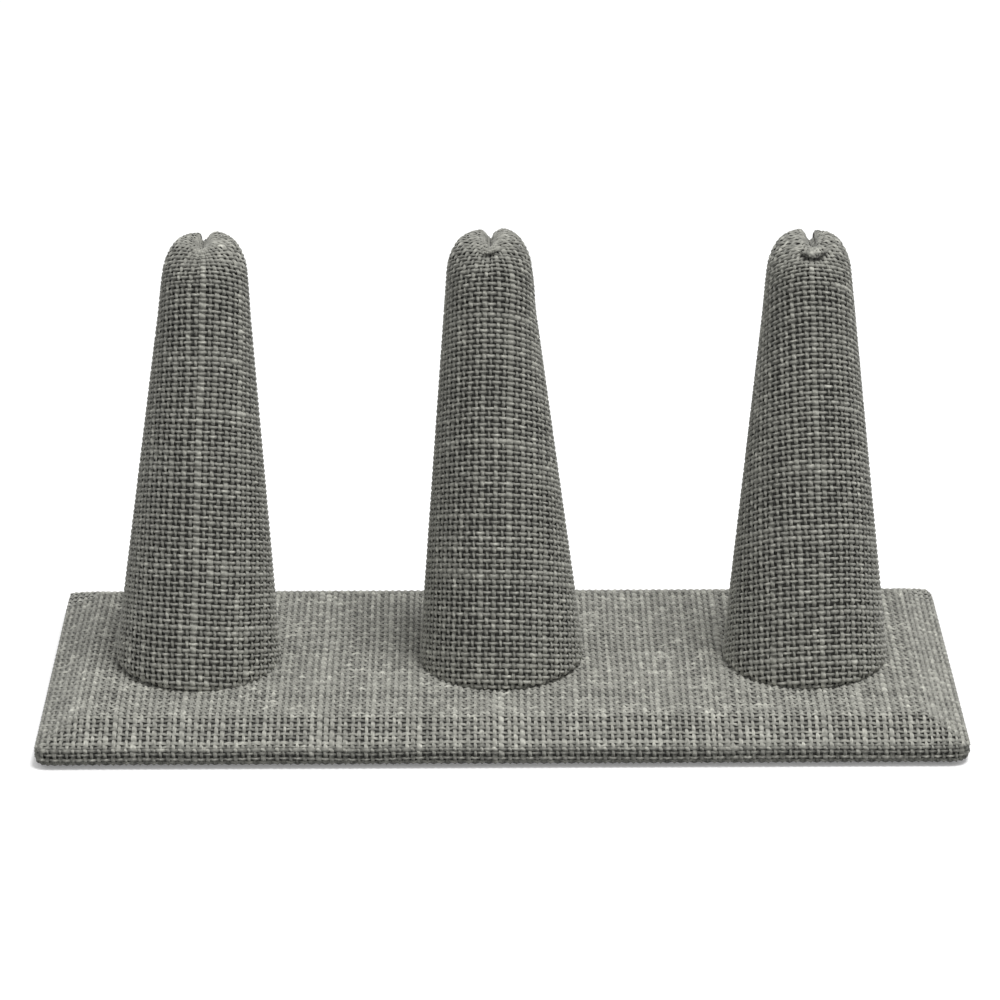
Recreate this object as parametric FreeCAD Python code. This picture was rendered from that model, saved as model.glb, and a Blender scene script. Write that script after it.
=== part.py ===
# A ring display stand: a thin bevelled board with three tapered fingers, all wrapped in linen.
# Millimetres. +X runs along the board, -Y is the front, +Z is up, and Z = 0 is the felt's underside.

import FreeCAD
import Part
import math
import os

from FreeCAD import Placement, Rotation, Vector

# Linen, and how it turns under the board
CLOTH = 0.7
HEM_WIDTH = 12.0
HEM_MITRE_GAP = 0.4
HEM_MITRE_LENGTH = 12.0
# Folded linen fills the board's corners, more at the left than at the right.
# In order: front left, front right, back right, back left.
CLOTH_CORNERS = [2.2, 3.0, 3.6, 1.6]
CLOTH_EDGE_ROUND = 1.2
CLOTH_FOOT_ROUND = 1.2

# Board
BOARD_LENGTH = 151.0
BOARD_DEPTH = 62.1
BOARD_THICKNESS = 5.0
BEVEL_WIDTH = 6.3
BEVEL_DROP = 2.9
BOARD_CORNERS = [3.0, 3.0, 3.0, 3.0]

# Felt under the board
FELT_OVER_HEM = 0.5
FELT_INSET = 4.0
FELT_CORNER = 3.0
FELT_TO_HEM = 0.3

# Fingers: wooden cores, each tapered to a domed tip
FINGER_FROM_END = 24.5
FINGER_FORWARD = 2.5
CORE_HEIGHT = 73.4
CORE_FOOT_RADIUS = 13.2
# Where the tapered side would reach the level of the tip
CORE_TIP_RADIUS = 5.6
# The dome, as shares of the tip's radius: a small flat, and the tight round outside it, which gives way
# to a wider one at this angle over the level
TIP_FLAT_SHARE = 0.41
CROWN_SHARE = 0.52
CROWN_TURN_DEG = 33.5
FOOT_TURN_IN = 5.5
# How far each finger leans to the right as it was fixed, in degrees
LEANS = {"left": 2.6, "middle": -1.7, "right": -0.9}

# The tip's saw slot, and the linen tucked into it
CREASE = 0.3
SLOT_DEPTH = 7.0
SLOT_LIP_ROUND = 1.2
NOTCH_DEPTH = 2.4

# The crescent fold under the tuck on a finger's front: a ring in a tilted plane, sunk by its own radius
FOLD_RADIUS = 2.3
FOLD_BELOW_TOP = 0.7
FOLD_FORWARD = 3.6
FOLD_TILT_DEG = 34.5
FOLD_DEPTHS = {"middle": 0.35, "right": 0.5}

# The lap where each sleeve closes, down the finger's back
SEAM_WIDTH = 5.0
SEAM_PROUD = 0.35
SEAM_BELOW_TOP = 9.0

# Countersunk wood screws, one up into each finger
SCREW_LENGTH = 16.0
SCREW_RADIUS = 1.6
SCREW_HEAD_RADIUS = 3.3
SCREW_HEAD_HEIGHT = 1.8
SCREW_POINT = 3.0
SCREW_CLEARANCE = 0.2
RECESS_WIDTH = 0.8
RECESS_SPAN = 3.6
RECESS_DEPTH = 1.1

# Levels and places that follow
BOARD_BOTTOM = FELT_OVER_HEM + CLOTH
BOARD_TOP = BOARD_BOTTOM + BOARD_THICKNESS
COVER_TOP = BOARD_TOP + CLOTH
BEVEL_ANGLE = math.atan2(BEVEL_DROP, BEVEL_WIDTH)
TAPER = math.atan2(CORE_FOOT_RADIUS - CORE_TIP_RADIUS, CORE_HEIGHT)
TIP_FLAT = TIP_FLAT_SHARE * CORE_TIP_RADIUS
CROWN_ROUND = CROWN_SHARE * CORE_TIP_RADIUS
CROWN_TURN = math.radians(CROWN_TURN_DEG)
FINGER_SPACING = BOARD_LENGTH / 2 - FINGER_FROM_END
FINGER_X = {"left": -FINGER_SPACING, "middle": 0.0, "right": FINGER_SPACING}
# How far the cutting tools reach past what they cut
BEYOND = BOARD_LENGTH


def rounded_rectangle(length, depth, radii, z):
    """A level rectangle about the Z axis, its corners rounded from the front left one round."""
    x = length / 2
    y = depth / 2
    signs = [(-1, -1), (1, -1), (1, 1), (-1, 1)]
    edges = []
    for i, (sx, sy) in enumerate(signs):
        radius = radii[i]
        centre = Vector(sx * (x - radius), sy * (y - radius), z)
        start = centre + Vector(sx * radius, 0, 0)
        end = centre + Vector(0, sy * radius, 0)
        if sx * sy > 0:
            start, end = end, start
        crown = centre + Vector(sx, sy, 0).normalize() * radius
        edges.append((end, crown, start))
    outline = []
    for i, (first, crown, last) in enumerate(edges):
        outline.append(Part.Arc(first, crown, last).toShape())
        outline.append(Part.LineSegment(last, edges[(i + 1) % 4][0]).toShape())
    return Part.Wire(outline)


def plate(length, depth, radii, bottom, top):
    """A flat slab with rounded corners between two levels."""
    outline = rounded_rectangle(length, depth, radii, bottom)
    return Part.Face(outline).extrude(Vector(0, 0, top - bottom))


def block(low, high):
    """A square-edged block between two corners."""
    size = high - low
    return Part.makeBox(size.x, size.y, size.z, low)


def edges_within(shape, low, high):
    """The edges of a shape that lie wholly between two levels."""
    return [e for e in shape.Edges if low < e.BoundBox.ZMin and e.BoundBox.ZMax < high]


def bevelled_bar(width, skin, edge_round):
    """A long bar along Y with the board's section, grown by a skin, its bevels kept parallel."""
    bottom = BOARD_BOTTOM - skin
    top = BOARD_TOP + skin
    edge = BOARD_TOP - BEVEL_DROP + skin * (1 - math.sin(BEVEL_ANGLE)) / math.cos(BEVEL_ANGLE)
    half = width / 2 + skin
    half_top = half - BEVEL_WIDTH - skin * (1 - math.tan(BEVEL_ANGLE / 2))
    right = [(half, bottom), (half, edge), (half_top, top)]
    left = [(-x, z) for x, z in reversed(right)]
    points = [Vector(x, -BEYOND, z) for x, z in right + left + right[:1]]
    bar = Part.Face(Part.makePolygon(points)).extrude(Vector(0, 2 * BEYOND, 0))
    if edge_round == 0:
        return bar
    long_edges = [e for e in edges_within(bar, BOARD_BOTTOM, BEYOND) if e.BoundBox.YLength > BEYOND]
    return bar.makeFillet(edge_round, long_edges)


def bevelled_form(skin, corners, edge_round):
    """The bevelled board, grown by a skin on every side."""
    across = bevelled_bar(BOARD_LENGTH, skin, edge_round)
    along = bevelled_bar(BOARD_DEPTH, skin, edge_round)
    along.rotate(Vector(), Vector(0, 0, 1), 90)
    length = BOARD_LENGTH + 2 * skin
    depth = BOARD_DEPTH + 2 * skin
    return plate(length, depth, corners, 0, BOARD_TOP + skin).common(across).common(along)


def finger_axis_places():
    """Each finger's name with the point on the board's linen that its axis stands on."""
    return [(name, Vector(x, -FINGER_FORWARD, COVER_TOP)) for name, x in FINGER_X.items()]


def screw_axis_cylinder(place, radius, bottom, top):
    """An upright cylinder on a finger's screw axis between two levels."""
    return Part.makeCylinder(radius, top - bottom, Vector(place.x, place.y, bottom))


def make_screw(place):
    """A countersunk wood screw, head down, its head's face level with the board's underside."""
    r = SCREW_RADIUS
    points = [
        Vector(0, 0, 0),
        Vector(SCREW_HEAD_RADIUS, 0, 0),
        Vector(r, 0, SCREW_HEAD_HEIGHT),
        Vector(r, 0, SCREW_LENGTH - SCREW_POINT),
        Vector(0, 0, SCREW_LENGTH),
        Vector(0, 0, 0),
    ]
    screw = Part.Face(Part.makePolygon(points)).revolve(Vector(), Vector(0, 0, 1), 360)
    half_span = RECESS_SPAN / 2
    half_width = RECESS_WIDTH / 2
    for x, y in [(half_span, half_width), (half_width, half_span)]:
        screw = screw.cut(block(Vector(-x, -y, -RECESS_DEPTH), Vector(x, y, RECESS_DEPTH)))
    screw.translate(Vector(place.x, place.y, BOARD_BOTTOM))
    return screw


def make_board():
    """The board, with a countersunk clearance hole under each finger."""
    board = bevelled_form(0, BOARD_CORNERS, 0)
    for _, place in finger_axis_places():
        foot = Vector(place.x, place.y, BOARD_BOTTOM)
        board = board.cut(screw_axis_cylinder(place, SCREW_RADIUS + SCREW_CLEARANCE, 0, BEYOND))
        board = board.cut(Part.makeCone(SCREW_HEAD_RADIUS, SCREW_RADIUS, SCREW_HEAD_HEIGHT, foot))
    return board


def hem_opening(inset, bottom, top):
    """The space that the hems leave free under the board, narrowed by an inset."""
    margin = 2 * (HEM_WIDTH - CLOTH + inset)
    return block(
        Vector(-(BOARD_LENGTH - margin) / 2, -(BOARD_DEPTH - margin) / 2, bottom),
        Vector((BOARD_LENGTH - margin) / 2, (BOARD_DEPTH - margin) / 2, top),
    )


def hem_mitres():
    """The slits where the hems meet, out from each corner of the opening under the board."""
    margin = HEM_WIDTH - CLOTH
    slits = []
    for sx in (-1, 1):
        for sy in (-1, 1):
            slit = block(
                Vector(-HEM_MITRE_GAP, -HEM_MITRE_GAP / 2, 0),
                Vector(HEM_MITRE_LENGTH, HEM_MITRE_GAP / 2, BOARD_BOTTOM),
            )
            slit.rotate(Vector(), Vector(0, 0, 1), math.degrees(math.atan2(sy, sx)))
            corner_x = sx * (BOARD_LENGTH / 2 - margin)
            corner_y = sy * (BOARD_DEPTH / 2 - margin)
            slit.translate(Vector(corner_x, corner_y, 0))
            slits.append(slit)
    return slits


def make_base_cover():
    """The linen round the board: over the top, bevel and edge, and turned under in mitred hems."""
    cover = bevelled_form(CLOTH, CLOTH_CORNERS, CLOTH_EDGE_ROUND)
    cover = cover.makeFillet(CLOTH_FOOT_ROUND, edges_within(cover, 0, BOARD_BOTTOM))
    cover = cover.cut(bevelled_form(0, BOARD_CORNERS, 0))
    cover = cover.cut(hem_opening(0, 0, BOARD_BOTTOM))
    for slit in hem_mitres():
        cover = cover.cut(slit)
    for _, place in finger_axis_places():
        cover = cover.cut(screw_axis_cylinder(place, SCREW_RADIUS + SCREW_CLEARANCE, BOARD_TOP, BEYOND))
    return cover


def make_felt():
    """The felt, flat over the hems and thicker where it fills the space between them."""
    length = BOARD_LENGTH + 2 * CLOTH - 2 * FELT_INSET
    depth = BOARD_DEPTH + 2 * CLOTH - 2 * FELT_INSET
    felt = plate(length, depth, [FELT_CORNER] * 4, 0, FELT_OVER_HEM)
    return felt.fuse(hem_opening(FELT_TO_HEM, 0, BOARD_BOTTOM)).removeSplitter()


def finger_radius(skin, z):
    """The tapered side's radius at a height over the linen that the finger stands on."""
    return CORE_FOOT_RADIUS - (z - CLOTH) * math.tan(TAPER) + skin / math.cos(TAPER)


def finger_top(skin):
    """The height of the tip over the linen that the finger stands on."""
    return CLOTH + CORE_HEIGHT + skin


def level_turn(angle):
    """The direction in the XZ plane at an angle over +X."""
    return Vector(math.cos(angle), 0, math.sin(angle))


def finger_blank(skin):
    """A finger grown by a skin, with its axis on Z, before its foot is cut level and its tip slotted.

    From the small flat at the tip a tight round and then a wider one lead into the tapered side.
    """
    across = math.cos(CROWN_TURN - TAPER)
    reach = (CORE_TIP_RADIUS - TIP_FLAT) * math.cos(TAPER) + CROWN_ROUND * math.sin(TAPER)
    shoulder_round = (reach - CROWN_ROUND * across) / (1 - across)
    crown = Vector(TIP_FLAT, 0, finger_top(0) - CROWN_ROUND)
    shoulder = crown - level_turn(CROWN_TURN) * (shoulder_round - CROWN_ROUND)
    crown_angles = [math.pi / 2, math.pi / 4 + CROWN_TURN / 2, CROWN_TURN]
    shoulder_angles = [CROWN_TURN, (CROWN_TURN + TAPER) / 2, TAPER]
    crown_points = [crown + level_turn(a) * (CROWN_ROUND + skin) for a in crown_angles]
    shoulder_points = [shoulder + level_turn(a) * (shoulder_round + skin) for a in shoulder_angles]
    start = -CORE_FOOT_RADIUS / 2
    corners = [
        shoulder_points[-1],
        Vector(finger_radius(skin, start), 0, start),
        Vector(0, 0, start),
        Vector(0, 0, finger_top(skin)),
        crown_points[0],
    ]
    dome = [Part.Arc(*crown_points).toShape(), Part.Arc(*shoulder_points).toShape()]
    profile = Part.Wire(Part.__sortEdges__(dome + Part.makePolygon(corners).Edges))
    return Part.Face(profile).revolve(Vector(), Vector(0, 0, 1), 360)


def slot_tool(half_width, lip, top, floor):
    """A slot from front to back through a tip, with rounded lips at its mouth."""
    bend = lip * math.sqrt(0.5)
    lip_x = half_width + lip
    lip_z = top - lip
    above = top + lip
    right = [
        Part.LineSegment(Vector(half_width, 0, floor), Vector(half_width, 0, lip_z)).toShape(),
        Part.Arc(
            Vector(half_width, 0, lip_z), Vector(lip_x - bend, 0, lip_z + bend), Vector(lip_x, 0, top)
        ).toShape(),
        Part.LineSegment(Vector(lip_x, 0, top), Vector(lip_x, 0, above)).toShape(),
    ]
    left = [edge.mirror(Vector(), Vector(1, 0, 0)) for edge in right]
    ends = [
        Part.LineSegment(Vector(-half_width, 0, floor), Vector(half_width, 0, floor)).toShape(),
        Part.LineSegment(Vector(-lip_x, 0, above), Vector(lip_x, 0, above)).toShape(),
    ]
    profile = Part.Face(Part.Wire(Part.__sortEdges__(right + left + ends)))
    profile.translate(Vector(0, -BEYOND / 2, 0))
    return profile.extrude(Vector(0, BEYOND, 0))


def fold_tool(depth):
    """The ring whose front lies in the linen as the crescent fold under the tuck."""
    tilt = math.radians(FOLD_TILT_DEG)
    centre = Vector(0, -FOLD_FORWARD, finger_top(CLOTH) - FOLD_BELOW_TOP)
    return Part.makeTorus(FOLD_RADIUS, depth, centre, Vector(0, -math.sin(tilt), math.cos(tilt)))


def set_in_place(shape, name, place):
    """Lean a finger's shape about the middle of its foot and move it to its place on the board."""
    shape = shape.copy()
    shape.Placement = Placement(place, Rotation(Vector(0, 1, 0), LEANS[name]))
    return shape


def above_level(shape, z):
    """What of a shape lies above a level."""
    corner = Vector(BEYOND, BEYOND, BEYOND)
    return shape.common(block(Vector(-corner.x, -corner.y, z), corner))


def make_finger(name, place):
    """One finger's core and its linen sleeve."""
    core_top = finger_top(0)
    slot_floor = core_top - SLOT_DEPTH
    slot = slot_tool(CREASE / 2 + CLOTH, SLOT_LIP_ROUND, core_top, slot_floor)
    notch = slot_tool(CREASE / 2, SLOT_LIP_ROUND + CLOTH, finger_top(CLOTH), finger_top(CLOTH) - NOTCH_DEPTH)
    crease = block(
        Vector(-CREASE / 2, -BEYOND, slot_floor + CLOTH), Vector(CREASE / 2, BEYOND, core_top)
    ).common(finger_blank(0))

    whole_core = finger_blank(0)
    core = above_level(set_in_place(whole_core.cut(slot), name, place), COVER_TOP + CLOTH)
    pilot = screw_axis_cylinder(place, SCREW_RADIUS, BOARD_TOP, BOARD_BOTTOM + SCREW_LENGTH)
    core_with_hole = core.cut(pilot)

    sleeve = finger_blank(CLOTH).cut(notch)
    seam = finger_blank(CLOTH + SEAM_PROUD).common(
        block(
            Vector(-SEAM_WIDTH / 2, 0, -BEYOND),
            Vector(SEAM_WIDTH / 2, BEYOND, core_top - SEAM_BELOW_TOP),
        )
    )
    sleeve = sleeve.fuse(seam)
    if name in FOLD_DEPTHS:
        sleeve = sleeve.cut(fold_tool(FOLD_DEPTHS[name]))
    sleeve = above_level(set_in_place(sleeve, name, place), COVER_TOP)
    sleeve = sleeve.cut(core).cut(set_in_place(crease, name, place))
    foot_opening = screw_axis_cylinder(place, CORE_FOOT_RADIUS - FOOT_TURN_IN, COVER_TOP, COVER_TOP + CLOTH)
    return core_with_hole, sleeve.cut(foot_opening)


def write(name, shape):
    """Check one piece and write it to parts/."""
    if not shape.isValid():
        raise ValueError(f"{name} isn't a valid shape")
    print(name, len(shape.Solids), "solids", round(shape.Volume, 2), "mm3")
    shape.exportStep(f"parts/{name}.step")


def main():
    os.makedirs("parts", exist_ok=True)
    write("base_board", make_board())
    write("base_cover", make_base_cover())
    write("underside_felt", make_felt())
    screws = []
    for name, place in finger_axis_places():
        core, sleeve = make_finger(name, place)
        write(f"finger_core_{name}", core)
        write(f"finger_cover_{name}", sleeve)
        screws.append(make_screw(place))
    write("finger_screws", Part.makeCompound(screws))


main()
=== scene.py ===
import math

import bpy
import numpy as np
from mathutils import Matrix, Vector
from mathutils.bvhtree import BVHTree


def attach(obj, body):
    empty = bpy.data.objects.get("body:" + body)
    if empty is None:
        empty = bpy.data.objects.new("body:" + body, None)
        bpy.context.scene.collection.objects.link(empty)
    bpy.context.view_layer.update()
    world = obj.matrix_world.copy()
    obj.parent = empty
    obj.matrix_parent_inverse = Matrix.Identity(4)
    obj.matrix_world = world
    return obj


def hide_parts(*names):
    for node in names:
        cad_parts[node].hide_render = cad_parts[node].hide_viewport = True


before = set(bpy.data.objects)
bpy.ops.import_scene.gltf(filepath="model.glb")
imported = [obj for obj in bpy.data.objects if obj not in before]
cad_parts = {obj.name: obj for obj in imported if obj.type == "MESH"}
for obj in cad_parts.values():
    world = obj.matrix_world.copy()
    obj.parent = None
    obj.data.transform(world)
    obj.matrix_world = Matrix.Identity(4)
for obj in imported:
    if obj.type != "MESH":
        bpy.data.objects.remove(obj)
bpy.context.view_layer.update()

MM = 0.001

# The linen's lattice on the base: yarn spacing and widths
BASE_WARP_PITCH = 1.11 * MM
BASE_WEFT_PITCH = 0.93 * MM
BASE_WARP_WIDTH = 0.61 * MM
BASE_WEFT_WIDTH = 0.52 * MM

# And on the fingers, where it is stretched more open, and its rows close up towards the tip
SLEEVE_WARP_PITCH = 1.19 * MM
SLEEVE_WEFT_PITCH = 0.92 * MM
ROWS_CLOSING = 0.001
SPARE_ROWS = 1.12
SLEEVE_WARP_WIDTH = 0.64 * MM
SLEEVE_WEFT_WIDTH = 0.55 * MM
WIDE_WARP = 1.1
NARROW_WARP = 0.82
SLEEVE_HALF_WIDTH = 50 * MM

# How far the yarns wander together from their straight places, in waves of what length sideways
# and up, and how far each strays by itself
BASE_DRIFT = 0.16 * MM
BASE_DRIFT_WAVES = (30 * MM, 24 * MM)
SLEEVE_DRIFT = 0.14 * MM
SLEEVE_DRIFT_WAVES = (22 * MM, 18 * MM)
DRIFT_SEEDS = (21, 22)
WARP_STRAY = 0.07 * MM
WEFT_STRAY = 0.06 * MM

# A yarn's thickness: as a whole, how often it swells or thins, over how many millimetres, how much
YARN_THICKNESS = (0.82, 1.12)
PLACE_EVERY = 9 * MM
PLACE_LENGTHS = (1.2, 4.5)
PLACE_CHANGES = (-0.2, 0.36)

# A slub: how near its given place a yarn takes it, how long its ends are, and the beads along it
SLUB_NEAR = 0.55 * MM
SLUB_ENDS = 2 * MM
SLUB_BEAD = 0.15
SLUB_BEAD_SPACING = 2.1 * MM

# How far a yarn rises and falls as it passes over and under, and how high its back is crowned
RELIEF = 0.19 * MM
CROWN = 0.25 * MM
SETTLE = RELIEF + CROWN

# The board's section as the linen goes round it
BASE_TOP_LENGTH = 138.7 * MM
BASE_TOP_DEPTH = 49.8 * MM
BASE_LENGTH = 152.4 * MM
BASE_DEPTH = 63.5 * MM
COVER_TOP = 6.9 * MM
BEVEL_FOOT = 3.748 * MM
COVER_FOOT = 0.5 * MM
HEM_SEEN = 4.5 * MM
LINEN_HALF_LENGTH = 81.0 * MM + HEM_SEEN
LINEN_HALF_DEPTH = 36.0 * MM + HEM_SEEN
UNDER_FINGER = 12.0 * MM
BEND_SOFTNESS = 0.9 * MM
MITRE_SPARE = 0.2 * MM

# The fingers: where each stands, how it leans, and how its sleeve was wrapped
FINGER_FORWARD = 2.5 * MM
FINGER_FOOT_RADIUS = 14.0 * MM
FINGER_RIM_RADIUS = 7.06 * MM
FINGER_RIM_HEIGHT = 67.0 * MM
FINGER_HEIGHT = 74.8 * MM
FOOT_CURL = 0.9 * MM
DOME_LENGTH = 12.4 * MM
SLOT_FRONT = 3.9 * MM
SLOT_BACK = 5.3 * MM
SLOT_LINED = 3.0 * MM
CREST_RADIUS = 2.15 * MM
SLOT_CLOSE = 0.03 * MM
SLOT_CROWDING = 1.35
CORE_CLEAR = 0.3 * MM
SEAM_LAP = 0.9 * MM
SEAM_RISE = 0.3 * MM
SMALLEST_LAP = 0.02
LAP_UP_DOME = 0.8
FOOT_SPARE = 0.2 * MM
SLEEVE_SPARE_BELOW = 3 * MM
SLEEVE_SPARE_ABOVE = 8 * MM
SHORTEST_RUN = 4

# At the tip: how far a form is looked for, from where the linen rests on the core, how far it faces
# up in the slot, and how much flatter and thinner its yarns get
CAST_REACH = 5 * MM
REST_FROM = 0.45
SLOT_FACING_UP = 0.2
TIP_FLATTER = 0.6
TIP_FLAT_SOONER = 1.2
TIP_THINNER = 0.42

# Each finger: where it stands, its lean and the turn of its weave in degrees, how far its rows sag,
# the seed of its unevenness, its flat cut (width, height and area in metres), where its slot lies,
# how far its left and right lobes are lifted and made fuller, its valley (depth, width on the left
# and on the right), its tuck (how far out, half width, how far below the top in the middle and at
# the ends), and its slubs (where across, from, to, how much thicker)
FINGERS = {
    "left": {
        "x": -51.0 * MM,
        "lean": 2.6,
        "turn": 0.3,
        "sag": 1.6 * MM,
        "seed": 3,
        "cut": (0.0872, 0.0940, 0.00537),
        "slot": -0.35 * MM,
        "lift": (-0.32 * MM, -0.05 * MM),
        "fuller": (0.1 * MM, 0.1 * MM),
        "valley": (2.0 * MM, 2.3 * MM, 2.1 * MM),
        "tuck": (0.10 * MM, 2.0 * MM, 1.6 * MM, 1.2 * MM),
        "warp_slubs": [
            (0.0, -40 * MM, 45 * MM, 0.45),
            (2.4 * MM, 12 * MM, 36 * MM, 0.35),
            (6.8 * MM, 8 * MM, 36 * MM, 0.45),
        ],
        "weft_slubs": [(23.7 * MM, -8 * MM, 9 * MM, 0.5), (-24 * MM, -4 * MM, 12 * MM, 0.35)],
    },
    "middle": {
        "x": 0.0,
        "lean": -1.7,
        "turn": 3.0,
        "sag": 2.0 * MM,
        "seed": 11,
        "cut": (0.0872, 0.0965, 0.00540),
        "slot": 0.5 * MM,
        "lift": (-0.03 * MM, 0.32 * MM),
        "fuller": (0.0, 0.32 * MM),
        "valley": (2.05 * MM, 1.7 * MM, 2.2 * MM),
        "tuck": (0.55 * MM, 1.9 * MM, 1.25 * MM, 0.75 * MM),
        "warp_slubs": [
            (2.2 * MM, -16 * MM, 46 * MM, 0.6),
            (8.0 * MM, -40 * MM, -4 * MM, 0.5),
            (-1.2 * MM, -40 * MM, -18 * MM, 0.35),
        ],
        "weft_slubs": [(-13.8 * MM, -14 * MM, 16 * MM, 0.5), (9 * MM, -8 * MM, 8 * MM, 0.25)],
    },
    "right": {
        "x": 51.0 * MM,
        "lean": -0.9,
        "turn": -1.9,
        "sag": 2.4 * MM,
        "seed": 7,
        "cut": (0.0872, 0.0978, 0.00544),
        "slot": 0.2 * MM,
        "lift": (-0.13 * MM, -0.22 * MM),
        "fuller": (0.12 * MM, 0.0),
        "valley": (2.6 * MM, 1.6 * MM, 2.7 * MM),
        "tuck": (0.8 * MM, 3.0 * MM, 1.6 * MM, 0.6 * MM),
        "warp_slubs": [(1.0 * MM, -40 * MM, 46 * MM, 0.6), (-6.0 * MM, -38 * MM, -10 * MM, 0.3)],
        "weft_slubs": [
            (-21 * MM, -10 * MM, 14 * MM, 0.5),
            (-28 * MM, -14 * MM, 8 * MM, 0.55),
            (-32 * MM, -6 * MM, 14 * MM, 0.4),
        ],
    },
}
BASE_WARP_SLUBS = [
    (-60.4 * MM, -36 * MM, 10 * MM, 0.45),
    (-51.7 * MM, -36 * MM, -4 * MM, 0.35),
    (-29.4 * MM, -36 * MM, 36 * MM, 0.5),
    (-13.6 * MM, -36 * MM, 20 * MM, 0.4),
    (-0.5 * MM, -36 * MM, 0 * MM, 0.5),
    (36.2 * MM, -36 * MM, 36 * MM, 0.55),
    (46.0 * MM, -36 * MM, 0 * MM, 0.35),
    (52.6 * MM, -36 * MM, 12 * MM, 0.5),
    (58.8 * MM, -36 * MM, 0 * MM, 0.4),
]
BASE_WEFT_SLUBS = [(-19 * MM, -40 * MM, 20 * MM, 0.25), (8 * MM, 20 * MM, 60 * MM, 0.3)]

# Where the valley between the lobes ends in front and behind
VALLEY_FRONT = -4.9 * MM
VALLEY_BACK = 7.0 * MM
VALLEY_FADE = 3.2 * MM

# Over what lengths the tip's form sets in, the lift changes from lobe to lobe, and the fuller sides
# begin beside the slot and below the rim
TIP_SETS_IN = 4 * MM
LIFT_CHANGES = 2 * MM
FULLER_BESIDE = 3 * MM
FULLER_BELOW = 6 * MM

# The fold's lip, the pocket under it and its droop: how strong, how many millimetres above the
# fold's line, and how tall
LIP = (1.0, 0.35, 0.45)
POCKET = (0.85, -0.8, 0.42)
DROOP = (0.9, 0.1, 0.38)
FOLD_FRONT = 2.5 * MM
FULL_TUCK = 0.5 * MM

# The slant of the yarn's twist, and the yarns' tones with how much they differ
TWIST = 0.7
WARP_TONE = 0.35
WEFT_TONE = -0.25
BASE_WARP_TONES = (-0.9, 0.7)
BASE_WEFT_TONES = (-0.8, 0.6)
SLEEVE_TONES = (-0.5, 0.5)
WIDE_WARP_TONE = 0.25
NARROW_WARP_TONE = -0.35
THICK_LIGHTER = 0.7
SLUB_LIGHTER = 1.6
SLUB_FROM = 1.3
SLUB_MOST = 0.8
# Painted shade: how much darker the linen's tone is made in the fold's pocket, where shade falls
PAINTED_POCKET_SHADE = 2.2

# The linen's lightness, what its tone, fibres and blotches change of it, and its painted light and shade
LINEN_LIGHT = 0.256
TONE_LIGHT = 0.08
# Painted light and shade: lighter where a yarn passes over, darker where it passes under and at its edges
PAINTED_CROSSING_LIGHT = 0.12
PAINTED_EDGE_SHADE = 0.02
FIBRE_LIGHT = 0.34
BLOTCH_LIGHT = 0.32
# Painted glints: highlight added to the colour above this much of the blotches' noise
PAINTED_GLINT_FROM = 0.05
LINEN_GREEN = 0.995
LINEN_BLUE = 0.885

# Waves a metre of the blotches and along the fibres, and how the fibres change across and by tone
BLOTCH_WAVES = 700.0
FIBRE_WAVES = 1500.0
FIBRE_SLANT = 1.2
FIBRE_LANES = 4.0
FIBRE_BY_TONE = 13.0


def wander(a, b, scale, seed):
    """A smooth irregular field of about -1 to 1, the same for the yarns that cross there."""
    rng = np.random.default_rng(seed)
    waves = 7
    fullness = 1.6
    total = np.zeros(np.broadcast(a, b).shape)
    for _ in range(waves):
        angle = rng.uniform(0, 2 * math.pi)
        wave = rng.uniform(0.5, 1.6) / scale
        phase = rng.uniform(0, 2 * math.pi)
        total = total + np.sin((a * math.cos(angle) + b * math.sin(angle)) * wave * 2 * math.pi + phase)
    return total / waves * fullness


def tree_of(node, to_local=Matrix.Identity(4)):
    """The search tree of a CAD node's surface, in a frame of one's own."""
    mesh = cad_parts[node].data
    points = [to_local @ v.co for v in mesh.vertices]
    mesh.calc_loop_triangles()
    return BVHTree.FromPolygons(points, [tuple(t.vertices) for t in mesh.loop_triangles])


def unit(v):
    return v / np.maximum(np.linalg.norm(v, axis=-1, keepdims=True), 1e-12)


def smooth_step(x):
    x = np.clip(x, 0, 1)
    return x * x * (3 - 2 * x)


def cast(tree, points, outward, reach):
    """Points moved along their outward directions onto the surface, and the way it faces there."""
    moved = points.copy()
    facing = outward.copy()
    for k in range(len(points)):
        start = Vector(points[k] + outward[k] * reach)
        place, normal, _, _ = tree.ray_cast(start, Vector(-outward[k]), 2 * reach)
        if place is not None:
            moved[k] = place
            facing[k] = normal if normal.dot(start - place) > 0 else -normal
    return moved, facing


def evened(values, rounds):
    """Directions averaged with their neighbours along a yarn."""
    for _ in range(rounds):
        padded = np.concatenate([values[:1], values, values[-1:]])
        values = unit(padded[:-2] + 2 * padded[1:-1] + padded[2:])
    return values


def nearest(tree, points):
    """Points moved to the nearest of the surface."""
    return np.array([tree.find_nearest(Vector(p))[0] for p in points])


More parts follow.
